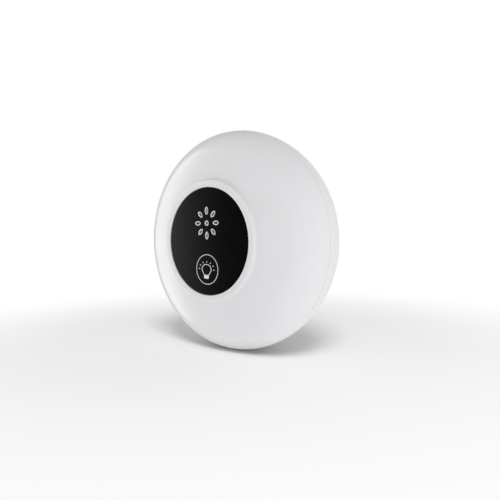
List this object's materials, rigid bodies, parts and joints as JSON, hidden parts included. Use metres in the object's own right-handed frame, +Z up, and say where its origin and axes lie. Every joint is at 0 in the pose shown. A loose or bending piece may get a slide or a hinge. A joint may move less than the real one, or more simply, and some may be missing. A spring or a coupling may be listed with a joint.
{
  "type": "ultrasonic pest repeller",
  "caption": "Round bun-shaped plug-in ultrasonic pest repeller with night light: milky two-shell housing, black panel with petal sound grille and a sprung light button, flat plug blades behind.",
  "frame": {"origin": "centre of the flat rear face, midway between the plug blades, where the part meets the wall plate", "axes": "+Z up, +X to the right as seen from the front, the front faces -Y and the blades point along +Y"},
  "size_m": [0.09, 0.059, 0.09],
  "materials": {
    "milky_shell": "satin milky white moulding",
    "white_cover": "satin white moulding",
    "gloss_black": "polished black",
    "button_black": "polished black with a white printed symbol",
    "adhesive": "matt adhesive tape",
    "grey_mesh": "fine woven mesh",
    "dark_plastic": "matt dark moulding",
    "black_rubber": "soft matt rubber",
    "spun_aluminium": "spun satin",
    "piezo_ceramic": "fired ceramic with a silvered face",
    "white_silicone": "soft white silicone",
    "tinned_pins": "tinned",
    "white_board": "white solder mask",
    "lamp_resin": "yellow lamp resin in a white frame",
    "gold_pins": "gold flashed",
    "green_board": "green solder mask",
    "red_resin": "dipped red resin",
    "blue_sleeve": "shrunk dark blue sleeve",
    "ferrite": "dull ferrite",
    "copper_wire": "enamelled copper winding",
    "blue_resin": "dipped blue resin",
    "grey_lacquer": "blue-grey lacquer",
    "chip_resin": "matt black resin",
    "chip_ceramic": "glazed black chip",
    "nickel_blade": "nickel plated",
    "clamp_plastic": "plain moulding",
    "wire_sleeve": "smooth insulation",
    "zinc_steel": "zinc plated"
  },
  "bodies": {
    "housing": {"front_shell": "milky_shell", "rear_cover": "white_cover", "front_panel": "gloss_black", "panel_tape": "adhesive", "dust_mesh": "grey_mesh", "switch_case": "dark_plastic", "emitter_gasket": "black_rubber", "emitter_can": "spun_aluminium", "emitter_cone": "spun_aluminium", "piezo_disc": "piezo_ceramic", "piezo_seat": "white_silicone", "emitter_base": "dark_plastic", "emitter_pins": "tinned_pins", "light_board": "white_board", "lamps": "lamp_resin", "link_carrier": "dark_plastic", "link_pins": "gold_pins", "power_board": "green_board", "film_capacitor": "red_resin", "filter_capacitor": "blue_sleeve", "choke_core": "ferrite", "choke_winding": "copper_wire", "varistor": "blue_resin", "fusible_resistor": "grey_lacquer", "rectifier": "chip_resin", "control_chip": "chip_resin", "transistors": "chip_resin", "chip_resistors": "chip_ceramic", "left_blade": "nickel_blade", "right_blade": "nickel_blade", "blade_clamp": "clamp_plastic", "mains_wires": "wire_sleeve", "clamp_screws": "zinc_steel", "board_screws": "zinc_steel", "housing_screws": "zinc_steel"},
    "button": {"light_button": "button_black", "switch_plunger": "dark_plastic"}
  },
  "joints": [
    {"name": "button_press", "type": "slide", "parent": "housing", "child": "button", "axis": [0, 1, 0], "range_m": [0, 0.0005], "stiffness_N_per_m": 1000, "springref_m": -0.001}
  ]
}
